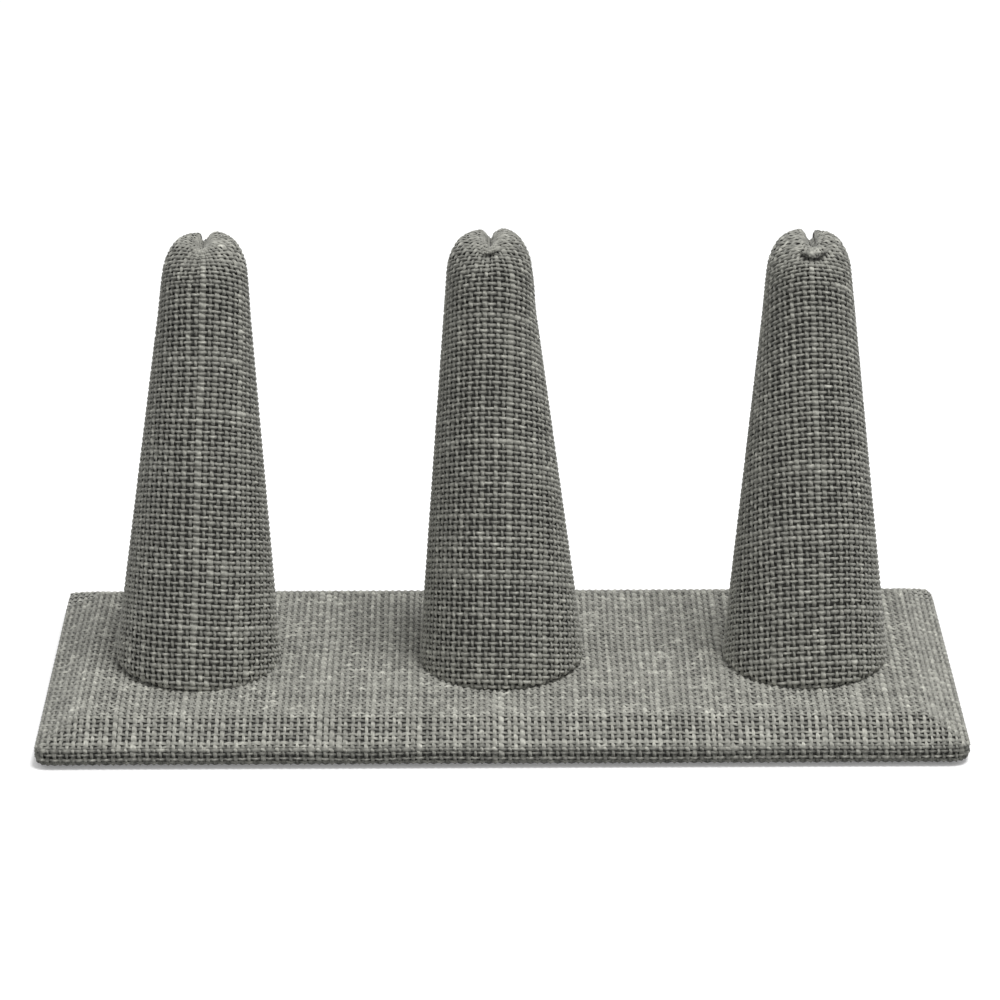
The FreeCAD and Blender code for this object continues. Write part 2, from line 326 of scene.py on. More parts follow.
class Strips:
    """Yarns gathered as strips of faces: each has a centre line, normals, and what its form needs."""

    def __init__(self, across):
        self.across = np.linspace(-1, 1, across)
        self.point, self.normal, self.side, self.lane = [], [], [], []
        self.over, self.half, self.tone, self.swell, self.twist, self.run = [], [], [], [], [], []
        self.faces = []
        self.u, self.v = [], []
        self.count = 0
        self.yarns = 0

    def add(self, point, normal, over, half, tone, swell, twist):
        n = len(point)
        if n < 3:
            return
        k = len(self.across)
        tangent = unit(np.gradient(point, axis=0))
        side = unit(np.cross(tangent, normal))
        normal = unit(np.cross(side, tangent))
        run = np.concatenate([[0], np.cumsum(np.linalg.norm(np.diff(point, axis=0), axis=1))])

        def spread(x):
            return np.repeat(np.asarray(x, float), k, axis=0)

        self.point.append(spread(point))
        self.normal.append(spread(normal))
        self.side.append(spread(side))
        self.lane.append(np.tile(self.across, n))
        self.over.append(spread(over))
        self.half.append(spread(half))
        self.tone.append(spread(tone))
        self.swell.append(spread(swell))
        self.twist.append(spread(twist))
        self.run.append(spread(run))
        self.u.append(spread(run / run[-1]))
        self.v.append(np.full(n * k, self.yarns))
        i, j = np.meshgrid(np.arange(n - 1), np.arange(k - 1), indexing="ij")
        a = self.count + i * k + j
        self.faces.append(np.stack([a, a + 1, a + k + 1, a + k], axis=-1).reshape(-1, 4))
        self.count += n * k
        self.yarns += 1

    def mesh(self, name):
        point = np.concatenate(self.point)
        faces = np.concatenate(self.faces)
        mesh = bpy.data.meshes.new(name)
        mesh.from_pydata(point.tolist(), [], faces.tolist())
        for label, kind, values in (
            ("yarn_normal", "FLOAT_VECTOR", np.concatenate(self.normal)),
            ("yarn_side", "FLOAT_VECTOR", np.concatenate(self.side)),
            ("lane", "FLOAT", np.concatenate(self.lane)),
            ("over", "FLOAT", np.concatenate(self.over)),
            ("half_width", "FLOAT", np.concatenate(self.half)),
            ("tone", "FLOAT", np.concatenate(self.tone)),
            ("swell", "FLOAT", np.concatenate(self.swell)),
            ("twist", "FLOAT", np.concatenate(self.twist)),
            ("run", "FLOAT", np.concatenate(self.run)),
        ):
            layer = mesh.attributes.new(label, kind, "POINT")
            layer.data.foreach_set("vector" if kind == "FLOAT_VECTOR" else "value", values.ravel())
        lane = np.concatenate(self.lane)
        margin = 0.005
        half_lane = 0.42
        u = margin + (1 - 2 * margin) * np.concatenate(self.u)
        v = (np.concatenate(self.v) + 0.5 + half_lane * lane) / self.yarns
        corner = faces.ravel()
        uv = mesh.uv_layers.new(name="OFBake")
        uv.data.foreach_set("uv", np.stack([u[corner], v[corner]], axis=-1).ravel())
        return mesh


def lightened(tone, thick):
    """A yarn's tone, lighter where it is thick, and most of all in its slubs."""
    return tone + THICK_LIGHTER * (thick - 1) + SLUB_LIGHTER * np.clip(thick - SLUB_FROM, 0, SLUB_MOST)


def runs(keep):
    """The unbroken stretches of a mask, as slices."""
    edges = np.flatnonzero(np.diff(np.concatenate([[0], keep.astype(int), [0]])))
    return [slice(a, b) for a, b in zip(edges[::2], edges[1::2])]


def thickness(across, along, slubs, rng):
    """How thick a yarn is along its length, from its own unevenness and the slubs given for its place."""
    factor = np.full_like(along, rng.uniform(*YARN_THICKNESS))
    span = along.max() - along.min()
    for _ in range(int(span / PLACE_EVERY) + 1):
        centre = rng.uniform(along.min(), along.max())
        length = rng.uniform(*PLACE_LENGTHS) * MM
        factor = factor + rng.uniform(*PLACE_CHANGES) * np.exp(-(((along - centre) / length) ** 2))
    for place, low, high, strength in slubs:
        if abs(place - across) < SLUB_NEAR:
            ends = smooth_step((along - low) / SLUB_ENDS) * smooth_step((high - along) / SLUB_ENDS)
            beads = 1 - SLUB_BEAD + SLUB_BEAD * np.sin(along / SLUB_BEAD_SPACING + place / MM)
            factor = factor + strength * ends * beads
    return factor


def passing(index, along):
    """Over (+1) and under (-1) along a yarn, where it crosses the others at whole numbers."""
    return np.cos(math.pi * (along + index))


def section(s, flat, wide):
    """The board's section: how far out, how high, and the outward angle, at a length from the middle."""
    slope = math.hypot(wide - flat, COVER_TOP - BEVEL_FOOT)
    side = BEVEL_FOOT - COVER_FOOT
    ends = np.cumsum([0, flat, slope, side, HEM_SEEN])
    out = np.interp(np.abs(s), ends, [0, flat, wide, wide, wide - HEM_SEEN])
    high = np.interp(np.abs(s), ends, [COVER_TOP, COVER_TOP, BEVEL_FOOT, COVER_FOOT, COVER_FOOT])
    bend = BEND_SOFTNESS
    tilt = math.atan2(COVER_TOP - BEVEL_FOOT, wide - flat)
    angle = math.pi / 2 - tilt * smooth_step((np.abs(s) - ends[1] + bend) / (2 * bend))
    angle = angle - (math.pi / 2 - tilt) * smooth_step((np.abs(s) - ends[2] + bend) / (2 * bend))
    angle = angle - math.pi / 2 * smooth_step((np.abs(s) - ends[3] + bend) / (2 * bend))
    return np.sign(s) * out, high, angle, ends


def base_surface(tree, a, b):
    """Where a point of the flat linen lies on the board, its outward direction, and if it is there."""
    x, zx, turn_x, ends_x = section(a, BASE_TOP_LENGTH / 2, BASE_LENGTH / 2)
    y, zy, turn_y, ends_y = section(b, BASE_TOP_DEPTH / 2, BASE_DEPTH / 2)
    down_x = np.abs(a) > ends_x[2]
    down_y = np.abs(b) > ends_y[2]
    under_x = np.clip(np.abs(a) - ends_x[3], 0, None)
    under_y = np.clip(np.abs(b) - ends_y[3], 0, None)
    z = np.minimum(zx, zy)
    normal = np.stack(
        [
            np.sign(a) * np.cos(turn_x) * np.ones_like(zy),
            np.sign(b) * np.cos(turn_y) * np.ones_like(zx),
            np.minimum(np.sin(turn_x), np.sin(turn_y)),
        ],
        axis=-1,
    )
    flat = (np.abs(a) < ends_x[1]) & (np.abs(b) < ends_y[1])
    keep = ~(down_x & down_y)
    keep &= (np.abs(a) <= ends_x[4]) & (np.abs(b) <= ends_y[4])
    keep &= under_y <= BASE_LENGTH / 2 - np.abs(x) + MITRE_SPARE
    keep &= under_x <= BASE_DEPTH / 2 - np.abs(y) + MITRE_SPARE
    for finger in FINGERS.values():
        far = np.hypot(x - finger["x"], y + FINGER_FORWARD)
        keep &= (far > UNDER_FINGER) | (z < BEVEL_FOOT)
    points = np.stack(np.broadcast_arrays(x, y, z), axis=-1)
    moved = points.copy()
    away = keep & ~flat
    if away.any():
        moved[away] = nearest(tree, points[away])
    return moved, unit(normal), keep


def weave_base():
    """The linen on the board, warps first and then wefts."""
    wave_a, wave_b = BASE_DRIFT_WAVES
    seed_a, seed_b = DRIFT_SEEDS
    tree = tree_of("base_cover")
    strips = Strips(3)
    rng = np.random.default_rng(5)
    columns = int(LINEN_HALF_LENGTH / BASE_WARP_PITCH)
    rows = int(LINEN_HALF_DEPTH / BASE_WEFT_PITCH)
    fine = 2

    def lay(a, b, along, index, thick, width, tone, twist):
        a2 = a + BASE_DRIFT * wander(a, b, wave_a, seed_a)
        b2 = b + BASE_DRIFT * wander(a, b, wave_b, seed_b)
        point, normal, keep = base_surface(tree, a2, b2)
        point = point - normal * SETTLE
        over = passing(index, along)
        lean = passing(index - 0.5, along)
        shine = lightened(tone, thick)
        for part in runs(keep):
            full = np.ones(len(over[part]))
            half = width / 2 * thick[part]
            strips.add(point[part], normal[part], over[part], half, shine[part], full, twist * lean[part])

    for i in range(-columns, columns + 1):
        along = np.arange(-rows * fine, rows * fine + 1) / fine
        b = along * BASE_WEFT_PITCH
        a = np.full_like(b, i * BASE_WARP_PITCH + rng.normal(0, WARP_STRAY))
        thick = thickness(a[0], b, BASE_WARP_SLUBS, rng)
        tone = WARP_TONE + rng.uniform(*BASE_WARP_TONES)
        lay(a, b, along, i, thick, BASE_WARP_WIDTH, tone, TWIST)
    for j in range(-rows, rows + 1):
        along = np.arange(-columns * fine, columns * fine + 1) / fine
        a = along * BASE_WARP_PITCH
        b = np.full_like(a, j * BASE_WEFT_PITCH + rng.normal(0, WEFT_STRAY))
        thick = thickness(b[0], a, BASE_WEFT_SLUBS, rng)
        tone = WEFT_TONE + rng.uniform(*BASE_WEFT_TONES)
        lay(a, b, along, j + 1, thick, BASE_WEFT_WIDTH, tone, 0.0)
    return strips.mesh("base_linen")


def finger_frame(finger):
    """The frame in which a finger stands upright on the origin."""
    place = Matrix.Translation((finger["x"], -FINGER_FORWARD, COVER_TOP))
    return place @ Matrix.Rotation(math.radians(finger["lean"]), 4, "Y")


TAPER = math.atan2(FINGER_FOOT_RADIUS - FINGER_RIM_RADIUS, FINGER_RIM_HEIGHT)
SLANT_FOOT = FINGER_FOOT_RADIUS / math.sin(TAPER)
SLANT_RIM = FINGER_RIM_RADIUS / math.sin(TAPER)
RIM_UP = SLANT_FOOT - SLANT_RIM


def wrap(finger, a, b):
    """From the sleeve's flat linen to the angle round the finger and the length up it."""
    turn = math.radians(finger["turn"])
    middle = (SLANT_FOOT + SLANT_RIM) / 2
    across = a * math.cos(turn) + b * math.sin(turn)
    up = b * math.cos(turn) - a * math.sin(turn)
    angle = np.zeros_like(across)
    for _ in range(6):
        drop = 2 * finger["sag"] * (1 - np.cos(np.clip(angle, -math.pi, math.pi)))
        from_apex = np.maximum(middle - up + drop, 1 * MM)
        slant = np.hypot(across, from_apex)
        held = np.maximum(slant, SLANT_RIM)
        angle = np.arcsin(np.clip(across / held, -1, 1)) / math.sin(TAPER)
    return angle, SLANT_FOOT - slant


def draped(core, point):
    """Points of the tip kept off the wooden core that they lie on."""
    lowest = point[:, 2].copy()
    for i, (x, y, z) in enumerate(point):
        hit = core.ray_cast(Vector((x, y, FINGER_HEIGHT + CAST_REACH)), Vector((0, 0, -1)))[0]
        if hit is not None and hit.z > FINGER_HEIGHT - CAST_REACH:
            lowest[i] = hit.z + CORE_CLEAR
    point[:, 2] = np.maximum(point[:, 2], lowest)
    return point


def cone_form(angle, up):
    """Points of the sleeve's cone, and the way that each faces."""
    out = np.stack([np.sin(angle), -np.cos(angle), np.zeros_like(angle)], axis=-1)
    rise = np.clip(up, 0, RIM_UP)
    radius = FINGER_FOOT_RADIUS - rise * math.sin(TAPER)
    point = out * radius[:, None]
    point[:, 2] = rise * math.cos(TAPER)
    return point, unit(out * math.cos(TAPER) + np.array([0, 0, math.sin(TAPER)]))


def closing(finger, angle, side, c):
    """Where the linen over the dome lies from above, as it closes from the rim towards the slot."""
    wide = np.abs(np.sin(angle)) * FINGER_RIM_RADIUS * c ** SLOT_CROWDING
    x = side * np.maximum(wide, SLOT_CLOSE) + finger["slot"] * (1 - c)
    slot_end = np.where(np.cos(angle) > 0, SLOT_FRONT, SLOT_BACK)
    return x, -np.cos(angle) * (slot_end + (FINGER_RIM_RADIUS - slot_end) * c)


def finger_surface(finger, tree, core, angle, up):
    """Where a point at an angle round and a length up lies on the sleeve, and its outward direction.

    Above the rim the linen closes over the lobes towards the slot, and then goes down into it.
    """
    point, aim = cone_form(angle, up)
    t = np.clip((up - RIM_UP) / DOME_LENGTH, 0, 1)
    c = np.cos(t * math.pi / 2)
    s = np.sin(t * math.pi / 2)
    side = np.where(np.sin(angle) < 0, -1.0, 1.0)
    x, y = closing(finger, angle, side, c)
    z = FINGER_RIM_HEIGHT + (FINGER_HEIGHT - FINGER_RIM_HEIGHT) * s
    radius = np.hypot(x, y)
    level = np.stack([x, y, np.zeros_like(x)], axis=-1) / radius[:, None]
    on_dome = up > RIM_UP
    away = np.maximum(radius, CREST_RADIUS)
    point[on_dome] = np.stack([away, 0 * away, z], axis=-1)[on_dome]
    aim[on_dome] = np.stack([c, 0 * c, s], axis=-1)[on_dome]
    point, facing = cast(tree, point, aim, CAST_REACH)
    flat_point, flat_facing = point.copy(), facing.copy()
    point[on_dome] = (level * (flat_point[:, 0] - away + radius)[:, None])[on_dome]
    point[on_dome, 2] = flat_point[on_dome, 2]
    facing[on_dome] = (level * flat_facing[:, :1])[on_dome]
    facing[on_dome, 2] = flat_facing[on_dome, 2]
    # How far the point lies in the fold's pocket, for the painted shade in its tone there
    pocket_shade_mask = fold(finger, point)[1] * min(finger["tuck"][0] / FULL_TUCK, 1)
    point, facing = tucked(finger, point, unit(facing))
    top = on_dome & (t > REST_FROM)
    if top.any():
        point[top] = draped(core, point[top])
    inside = up > RIM_UP + DOME_LENGTH
    if inside.any():
        point[inside, 2] -= (up - RIM_UP - DOME_LENGTH)[inside]
        facing[inside] = np.stack([-side, 0 * side, SLOT_FACING_UP + 0 * side], axis=-1)[inside]
    return point, evened(unit(facing), 2), t, pocket_shade_mask


def tip_form(finger, point):
    """A point of the plain dome moved to where the lobes, the valley between them and the tuck have it."""
    x, y, z = point.T
    high = smooth_step((z - FINGER_RIM_HEIGHT) / TIP_SETS_IN)
    beside = x - finger["slot"] * high
    left, right = finger["lift"]
    lift = (left + (right - left) * smooth_step(beside / LIFT_CHANGES + 0.5)) * high
    depth, width_left, width_right = finger["valley"]
    width = np.where(beside < 0, width_left, width_right)
    ends = smooth_step((y - VALLEY_FRONT) / VALLEY_FADE) * smooth_step((VALLEY_BACK - y) / VALLEY_FADE)
    valley = depth * np.clip(1 - np.abs(beside) / width, 0, 1) ** 2 * ends * high
    left, right = finger["fuller"]
    outward = right * smooth_step(beside / FULLER_BESIDE) - left * smooth_step(-beside / FULLER_BESIDE)
    x = x + outward * smooth_step((z - FINGER_RIM_HEIGHT) / FULLER_BELOW + 1)
    lip, pocket, drop = fold(finger, point)
    push = finger["tuck"][0]
    return np.stack([x, y - push * (lip - pocket), z + lift - valley - push * drop], axis=-1)


def ridge(there, above, form):
    """How strongly one part of the fold shows at heights above the fold's line."""
    strength, middle, tall = form
    return there * strength * np.exp(-(((above - middle) / tall) ** 2))


def fold(finger, point):
    """The crescent below the slot where the linen folds over itself: its lip, pocket and droop."""
    x, y, z = point.T
    half_width, low, top = finger["tuck"][1:]
    across = (x - finger["slot"]) / half_width
    above = (z - FINGER_HEIGHT + low - (low - top) * across ** 2) / MM
    there = np.clip(1 - across ** 2, 0, 1) * smooth_step((-y - FOLD_FRONT) / MM)
    return [ridge(there, above, form) for form in (LIP, POCKET, DROOP)]


def tucked(finger, point, facing):
    """The tip's form for points and for their outward directions."""
    step = 0.03 * MM
    askew = np.array([0.31, 0.22, 0.92])
    one = unit(np.cross(facing, askew))
    two = np.cross(facing, one)
    along_one = tip_form(finger, point + one * step) - tip_form(finger, point - one * step)
    along_two = tip_form(finger, point + two * step) - tip_form(finger, point - two * step)
    turned = unit(np.cross(along_one, along_two))
    facing_in = np.sum(np.cross(one, two) * facing, axis=-1) < 0
    turned = np.where(facing_in[:, None], -turned, turned)
    return tip_form(finger, point), turned


def row_place(row):
    """How far up the flat linen a row of the sleeve lies: the rows close up towards the tip."""
    return SLEEVE_WEFT_PITCH * row * (1 - ROWS_CLOSING * row)


def lapped(angle, up):
    """Which points the sleeve has, and how far each is raised where its seam laps at the back."""
    around = np.interp(up, [0, RIM_UP], [FINGER_FOOT_RADIUS, FINGER_RIM_RADIUS])
    lap = SEAM_LAP / around * (up < RIM_UP + LAP_UP_DOME * DOME_LENGTH)
    keep = (angle > -math.pi) & (angle < math.pi + lap)
    keep &= (up > -FOOT_SPARE) & (up < RIM_UP + DOME_LENGTH + SLOT_LINED)
    past = (angle - math.pi - lap) / (2 * np.maximum(lap, SMALLEST_LAP))
    return keep, SEAM_RISE * smooth_step(1 + past)


def turned_in(up):
    """How far the sleeve's foot curls in at a length up."""
    curl = np.clip(1 - up / FOOT_CURL, 0, 1)
    return FOOT_CURL * (1 - np.sqrt(np.clip(1 - curl ** 2, 0, 1)))


def sleeve_rows(finger):
    """The lowest and the highest row of a sleeve, with some to spare at both ends."""
    below = RIM_UP / 2 + SLEEVE_SPARE_BELOW
    above = RIM_UP / 2 + DOME_LENGTH + SLOT_LINED + 4 * finger["sag"] + SLEEVE_SPARE_ABOVE
    return -int(below / SLEEVE_WEFT_PITCH), int(SPARE_ROWS * above / SLEEVE_WEFT_PITCH)


class Sleeve:
    """A finger's linen: what it lies on, and its yarns as they are laid."""

    def __init__(self, name):
        self.finger = FINGERS[name]
        place = finger_frame(self.finger)
        self.tree = tree_of(f"finger_cover_{name}", place.inverted())
        self.core = tree_of(f"finger_core_{name}", place.inverted())
        self.turn = np.array(place.to_3x3())
        self.shift = np.array(place.translation)
        self.strips = Strips(4)

    def lay(self, a, b, along, index, thick, width, tone, twist):
        finger = self.finger
        wave_a, wave_b = SLEEVE_DRIFT_WAVES
        seed_a, seed_b = (finger["seed"] + seed for seed in DRIFT_SEEDS)
        a2 = a + SLEEVE_DRIFT * wander(a, b, wave_a, seed_a)
        b2 = b + SLEEVE_DRIFT * wander(a, b, wave_b, seed_b)
        angle, up = wrap(finger, a2, b2)
        keep, raised = lapped(angle, up)
        over = passing(index, along)
        lean = passing(index - 0.5, along)
        shine = lightened(tone, thick)
        for part in runs(keep):
            if part.stop - part.start < SHORTEST_RUN:
                continue
            point, normal, t, pocket_shade_mask = finger_surface(finger, self.tree, self.core, angle[part], up[part])
            swell = 1 - TIP_FLATTER * smooth_step(t * TIP_FLAT_SOONER)
            point = point - normal * (SETTLE * swell + turned_in(up[part]) - raised[part])[:, None]
            # The pocket under the fold gets painted shade in the tone
            self.strips.add(
                point @ self.turn.T + self.shift,
                normal @ self.turn.T,
                over[part],
                width / 2 * thick[part] * (1 - TIP_THINNER * t),
                shine[part] - PAINTED_POCKET_SHADE * pocket_shade_mask,
                swell,
                twist * lean[part],
            )


def weave_finger(name):
    """A finger's sleeve, warps first and then wefts."""
    finger = FINGERS[name]
    laid = Sleeve(name)
    rng = np.random.default_rng(finger["seed"])
    fine = 3
    columns = int(SLEEVE_HALF_WIDTH / SLEEVE_WARP_PITCH)
    low, high = sleeve_rows(finger)
    for i in range(-columns, columns + 1):
        along = np.arange(low * fine, high * fine + 1) / fine
        b = row_place(along)
        a = np.full_like(b, i * SLEEVE_WARP_PITCH + rng.normal(0, WARP_STRAY))
        thick = thickness(a[0], b, finger["warp_slubs"], rng)
        even = i % 2 == 0
        width = SLEEVE_WARP_WIDTH * (WIDE_WARP if even else NARROW_WARP)
        tone = WARP_TONE + (WIDE_WARP_TONE if even else NARROW_WARP_TONE) + rng.uniform(*SLEEVE_TONES)
        laid.lay(a, b, along, i, thick, width, tone, TWIST)
    for j in range(low, high + 1):
        along = np.arange(-columns * fine, columns * fine + 1) / fine
        a = along * SLEEVE_WARP_PITCH
        b = np.full_like(a, row_place(j) + rng.normal(0, WEFT_STRAY))
        thick = thickness(b[0], a, finger["weft_slubs"], rng)
        tone = WEFT_TONE + rng.uniform(*SLEEVE_TONES)
        laid.lay(a, b, along, j + 1, thick, SLEEVE_WEFT_WIDTH, tone, 0.0)
    return laid.strips.mesh(f"finger_linen_{name}")


class Shader:
    """A socket that can be used in sums."""

    def __init__(self, tree, socket):
        self.tree = tree
        self.socket = socket

    def _math(self, kind, other, back=False):
        node = self.tree.nodes.new("ShaderNodeMath")
        node.operation = kind
        pair = (other, self) if back else (self, other)
        for slot, value in zip(node.inputs, pair):
            if isinstance(value, Shader):
                self.tree.links.new(value.socket, slot)
            else:
                slot.default_value = value
        return Shader(self.tree, node.outputs[0])

    def __add__(self, other):
        return self._math("ADD", other)

    def __radd__(self, other):
        return self._math("ADD", other, True)

    def __sub__(self, other):
        return self._math("SUBTRACT", other)

    def __rsub__(self, other):
        return self._math("SUBTRACT", other, True)

    def __mul__(self, other):
        return self._math("MULTIPLY", other)

    def __rmul__(self, other):
        return self._math("MULTIPLY", other, True)

    def largest(self, other):
        return self._math("MAXIMUM", other)


def add_node(tree, kind, settings=None, inputs=None):
    node = tree.nodes.new(kind)
    for key, value in (settings or {}).items():
        setattr(node, key, value)
    for key, value in (inputs or {}).items():
        slot = node.inputs[key]
        if isinstance(value, Shader):
            tree.links.new(value.socket, slot)
        elif isinstance(value, bpy.types.NodeSocket):
            tree.links.new(value, slot)
        else:
            slot.default_value = value
    return node


def yarn_group():
    """An empty tree with the inputs that a yarn's form depends on."""
    tree = bpy.data.node_groups.new("yarn form", "GeometryNodeTree")
    face = tree.interface
    face.new_socket("Geometry", in_out="INPUT", socket_type="NodeSocketGeometry")
    for label, value in (("Relief", RELIEF), ("Crown", CROWN), ("Unevenness", 0.25), ("Seed", 1.0)):
        face.new_socket(label, in_out="INPUT", socket_type="NodeSocketFloat").default_value = value
    face.new_socket("Geometry", in_out="OUTPUT", socket_type="NodeSocketGeometry")
    return tree


def yarn_tree(material):
    """The tree that gives every strip its yarn's form."""
    tree = yarn_group()
    given = tree.nodes.new("NodeGroupInput")
    done = tree.nodes.new("NodeGroupOutput")

    def named(label, kind="FLOAT"):
        node = add_node(tree, "GeometryNodeInputNamedAttribute", {"data_type": kind}, {"Name": label})
        return node.outputs["Attribute"]

    def value(label):
        return Shader(tree, given.outputs[label])

    noise = add_node(
        tree,
        "ShaderNodeTexNoise",
        {"noise_dimensions": "4D"},
        {"Scale": 900.0, "Detail": 2.0, "W": value("Seed")},
    )
    uneven = Shader(tree, noise.outputs[0]) - 0.5
    lane = Shader(tree, named("lane"))
    over = Shader(tree, named("over"))
    half = Shader(tree, named("half_width"))
    swell = Shader(tree, named("swell"))
    knot = over - Shader(tree, named("twist")) * lane
    lift = swell * (value("Relief") * knot + value("Crown") * (1.0 - lane * lane))
    reach = lane * half * (1.0 + value("Unevenness") * uneven * 2.0)

    def vectors(operation, inputs):
        return add_node(tree, "ShaderNodeVectorMath", {"operation": operation}, inputs).outputs[0]

    up = vectors("SCALE", {0: named("yarn_normal", "FLOAT_VECTOR"), "Scale": lift})
    out = vectors("SCALE", {0: named("yarn_side", "FLOAT_VECTOR"), "Scale": reach})
    placed = {"Geometry": given.outputs["Geometry"], "Offset": vectors("ADD", {0: up, 1: out})}
    moved = add_node(tree, "GeometryNodeSetPosition", None, placed)
    smooth = add_node(tree, "GeometryNodeSetShadeSmooth", None, {"Geometry": moved.outputs[0]})
    real = add_node(tree, "GeometryNodeRealizeInstances", None, {"Geometry": smooth.outputs[0]})
    dressed = {"Geometry": real.outputs[0], "Material": material}
    last = add_node(tree, "GeometryNodeSetMaterial", None, dressed)
    tree.links.new(last.outputs[0], done.inputs["Geometry"])
    return tree


def formed(mesh, tree, seed):
    """The strips taken through the yarn tree, as a plain object."""
    raw = bpy.data.objects.new("raw", mesh)
    bpy.context.scene.collection.objects.link(raw)
    modifier = raw.modifiers.new("yarn form", "NODES")
    modifier.node_group = tree
    for item in tree.interface.items_tree:
        if item.item_type == "SOCKET" and item.in_out == "INPUT" and item.name == "Seed":
            modifier[item.identifier] = float(seed)
    bpy.context.view_layer.update()
    shown = raw.evaluated_get(bpy.context.evaluated_depsgraph_get())
    plain = bpy.data.meshes.new_from_object(shown)
    plain.name = mesh.name
    piece = bpy.data.objects.new(mesh.name, plain)
    bpy.context.scene.collection.objects.link(piece)
    bpy.data.objects.remove(raw)
    return piece


def yarn_light(tree):
    """How light the linen is along and across its yarns, with painted light, shade and glints, and the
    fibres its bump follows.
    """

    def attribute(label):
        return Shader(tree, add_node(tree, "ShaderNodeAttribute", {"attribute_name": label}).outputs["Fac"])

    def noise(vector, scale):
        inputs = {"Vector": vector, "Scale": scale, "Detail": 3.0}
        return Shader(tree, add_node(tree, "ShaderNodeTexNoise", None, inputs).outputs[0])

    # The tone holds the yarn's own tone and, in the fold's pocket, painted shade
    tone = attribute("tone")
    lane = attribute("lane")
    coords = add_node(tree, "ShaderNodeTexCoord")
    blotches = noise(coords.outputs["Object"], BLOTCH_WAVES) - 0.5
    along = attribute("run") * FIBRE_WAVES + lane * FIBRE_SLANT
    place = {"X": along, "Y": lane * FIBRE_LANES, "Z": tone * FIBRE_BY_TONE}
    fibre = noise(add_node(tree, "ShaderNodeCombineXYZ", None, place).outputs[0], 1.0)
    knot = attribute("over") - attribute("twist") * lane
    # Painted light and shade: lighter where the yarn passes over, darker where it passes under and towards
    # its edges
    depth = attribute("swell") * (knot * PAINTED_CROSSING_LIGHT - lane * lane * PAINTED_EDGE_SHADE)
    # Painted glints: highlight added to the colour where the blotches are lightest
    painted_glints = (blotches - PAINTED_GLINT_FROM).largest(0.0)
    light = LINEN_LIGHT + tone * TONE_LIGHT + depth
    return light + (fibre - 0.5) * FIBRE_LIGHT + blotches * BLOTCH_LIGHT + painted_glints, fibre


def linen():
    material = bpy.data.materials.new("linen")
    material.use_nodes = True
    tree = material.node_tree
    shader = tree.nodes["Principled BSDF"]
    shader.inputs["Roughness"].default_value = 0.82
    shader.inputs["Specular IOR Level"].default_value = 0.35
    shader.inputs["Sheen Weight"].default_value = 0.3
    shader.inputs["Sheen Roughness"].default_value = 0.5
    light, fibre = yarn_light(tree)
    tinted = {"Red": light, "Green": light * LINEN_GREEN, "Blue": light * LINEN_BLUE}
    colour = add_node(tree, "ShaderNodeCombineColor", None, tinted)
    tree.links.new(colour.outputs[0], shader.inputs["Base Color"])
    bump = add_node(tree, "ShaderNodeBump", None, {"Height": fibre, "Strength": 0.5, "Distance": 0.1 * MM})
    tree.links.new(bump.outputs[0], shader.inputs["Normal"])
    return material


def grained(name, colour, rough, grain, spread, depth, metal=0.0):
    """A material whose colour, roughness and surface vary with a noise of so many waves a metre."""
    material = bpy.data.materials.new(name)
    material.use_nodes = True
    tree = material.node_tree
    shader = tree.nodes["Principled BSDF"]
    shader.inputs["Metallic"].default_value = metal
    coords = add_node(tree, "ShaderNodeTexCoord")
    placed = {"Vector": coords.outputs["Object"], "Scale": grain}
    along = add_node(tree, "ShaderNodeMapping", None, placed)
    spotted = {"Vector": along.outputs[0], "Scale": 1.0, "Detail": 4.0}
    noise = add_node(tree, "ShaderNodeTexNoise", None, spotted)
    uneven = Shader(tree, noise.outputs[0]) - 0.5
    light = uneven * spread + 1.0
    red, green, blue = (light * value for value in colour)
    mixed = add_node(tree, "ShaderNodeCombineColor", None, {"Red": red, "Green": green, "Blue": blue})
    tree.links.new(mixed.outputs[0], shader.inputs["Base Color"])
    tree.links.new((uneven * 0.2 + rough).socket, shader.inputs["Roughness"])
    bump = add_node(tree, "ShaderNodeBump", None, {"Height": uneven, "Strength": 0.5, "Distance": depth})
    tree.links.new(bump.outputs[0], shader.inputs["Normal"])
    return material


def dress(node, material):
    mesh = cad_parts[node].data
    mesh.materials.clear()
    mesh.materials.append(material)


CAMERA_PLACE = Vector((-2.86, -615.20, 289.46)) * MM
CAMERA_YAW = math.radians(0.246)
CAMERA_PITCH = math.radians(22.537)
CAMERA_ROLL = math.radians(-0.126)
CAMERA_FOCAL = 4003 / 1000
FILM_WIDTH = 36


def place_camera():
    data = bpy.data.cameras.new("camera")
    data.sensor_width = FILM_WIDTH
    data.lens = FILM_WIDTH * CAMERA_FOCAL
    camera = bpy.data.objects.new("camera", data)
    bpy.context.scene.collection.objects.link(camera)
    ahead = Vector(
        (
            math.sin(CAMERA_YAW) * math.cos(CAMERA_PITCH),
            math.cos(CAMERA_YAW) * math.cos(CAMERA_PITCH),
            -math.sin(CAMERA_PITCH),
        )
    )
    right = Vector((math.cos(CAMERA_YAW), -math.sin(CAMERA_YAW), 0))
    up = right.cross(ahead)
    right2 = right * math.cos(CAMERA_ROLL) + up * math.sin(CAMERA_ROLL)
    up2 = up * math.cos(CAMERA_ROLL) - right * math.sin(CAMERA_ROLL)
    turn = Matrix((right2, up2, -ahead)).transposed()
    camera.matrix_world = Matrix.Translation(CAMERA_PLACE) @ turn.to_4x4()
    bpy.context.scene.camera = camera


def area_light(name, place, target, size, power):
    data = bpy.data.lights.new(name, "AREA")
    data.shape = "DISK"
    data.size = size
    data.energy = power
    light = bpy.data.objects.new(name, data)
    light.location = place
    light.rotation_euler = (Vector(target) - Vector(place)).to_track_quat("-Z", "Y").to_euler()
    bpy.context.scene.collection.objects.link(light)


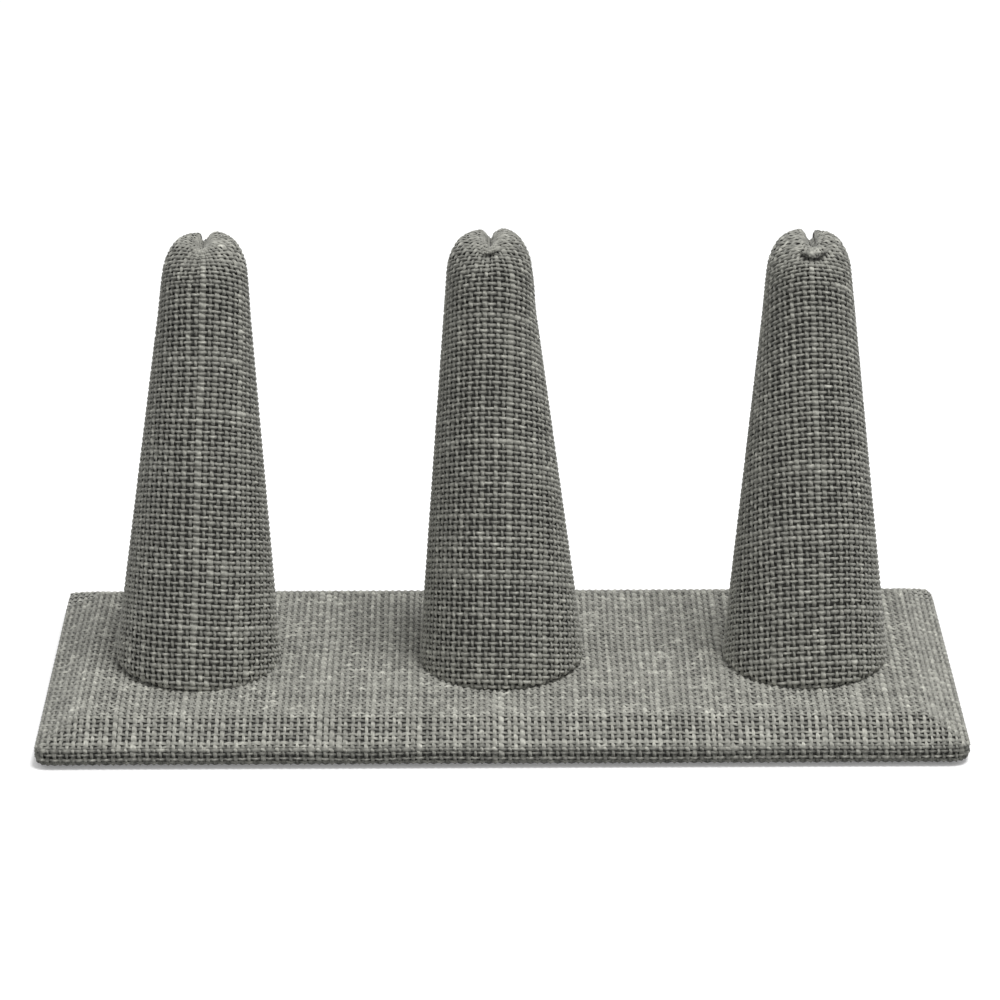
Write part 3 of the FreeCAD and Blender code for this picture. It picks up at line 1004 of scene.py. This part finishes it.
def background_rays(tree):
    """One where a ray comes from the camera, a mirror or through glass, else nothing."""
    rays = add_node(tree, "ShaderNodeLightPath")
    seen = Shader(tree, rays.outputs["Is Camera Ray"])
    mirrored = Shader(tree, rays.outputs["Is Glossy Ray"])
    return seen.largest(mirrored).largest(Shader(tree, rays.outputs["Is Transmission Ray"]))


def paper():
    """A floor that is white to look at and lights the object little."""
    material = bpy.data.materials.new("paper")
    material.use_nodes = True
    tree = material.node_tree
    shader = tree.nodes["Principled BSDF"]
    shader.inputs["Roughness"].default_value = 0.9
    shader.inputs["Emission Strength"].default_value = 1.0
    seen = background_rays(tree)
    shades = {"Factor": seen, "A": (0.05, 0.05, 0.05, 1), "B": (0.9, 0.9, 0.9, 1)}
    shade = add_node(tree, "ShaderNodeMix", {"data_type": "RGBA"}, shades)
    tree.links.new(shade.outputs["Result"], shader.inputs["Base Color"])
    glow = seen * 0.2
    lit = add_node(tree, "ShaderNodeCombineColor", None, {"Red": glow, "Green": glow, "Blue": glow})
    tree.links.new(lit.outputs[0], shader.inputs["Emission Color"])
    return material


def lay_floor():
    mesh = bpy.data.meshes.new("floor")
    mesh.from_pydata([(-3, -3, 0), (3, -3, 0), (3, 3, 0), (-3, 3, 0)], [], [(0, 1, 2, 3)])
    floor = bpy.data.objects.new("floor", mesh)
    bpy.context.scene.collection.objects.link(floor)
    mesh.materials.append(paper())


def light_sky():
    """An even sky, which the camera, mirrors and glass see as white."""
    world = bpy.data.worlds.new("studio")
    bpy.context.scene.world = world
    world.use_nodes = True
    tree = world.node_tree
    sky = tree.nodes["Background"]
    sky.inputs["Color"].default_value = (1, 1, 1, 1)
    sky.inputs["Strength"].default_value = 0.55
    white = add_node(tree, "ShaderNodeBackground", None, {"Color": (1, 1, 1, 1), "Strength": 1.0})
    inputs = {0: background_rays(tree), 1: sky.outputs[0], 2: white.outputs[0]}
    mix = add_node(tree, "ShaderNodeMixShader", None, inputs)
    tree.links.new(mix.outputs[0], tree.nodes["World Output"].inputs[0])


def studio():
    lay_floor()
    light_sky()
    area_light("soft top", place=(0.2, -0.22, 1.05), target=(0, 0, 0), size=0.35, power=8.5)
    bpy.context.scene.view_settings.view_transform = "Standard"


studio()
place_camera()
cloth = linen()
form = yarn_tree(cloth)
stain = (0.072, 0.07, 0.063)
grey = (0.6, 0.6, 0.58)
black = (0.03, 0.03, 0.035)
board_wood = grained("board wood", stain, rough=0.85, grain=(700, 700, 700), spread=0.5, depth=0.05 * MM)
core_wood = grained("core wood", stain, rough=0.85, grain=(1500, 1500, 90), spread=0.6, depth=0.05 * MM)
steel = grained(
    "screw steel", grey, rough=0.35, grain=(900, 900, 900), spread=0.12, depth=0.01 * MM, metal=1.0
)
felt = grained("felt", black, rough=0.9, grain=(2400, 2400, 2400), spread=1.0, depth=0.15 * MM)
dress("base_board", board_wood)
dress("finger_screws", steel)
dress("underside_felt", felt)

base = formed(weave_base(), form, 1)
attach(base, "root")
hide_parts("base_cover")
for name in FINGERS:
    dress(f"finger_core_{name}", core_wood)
    sleeve = formed(weave_finger(name), form, FINGERS[name]["seed"])
    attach(sleeve, "root")
    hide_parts(f"finger_cover_{name}")
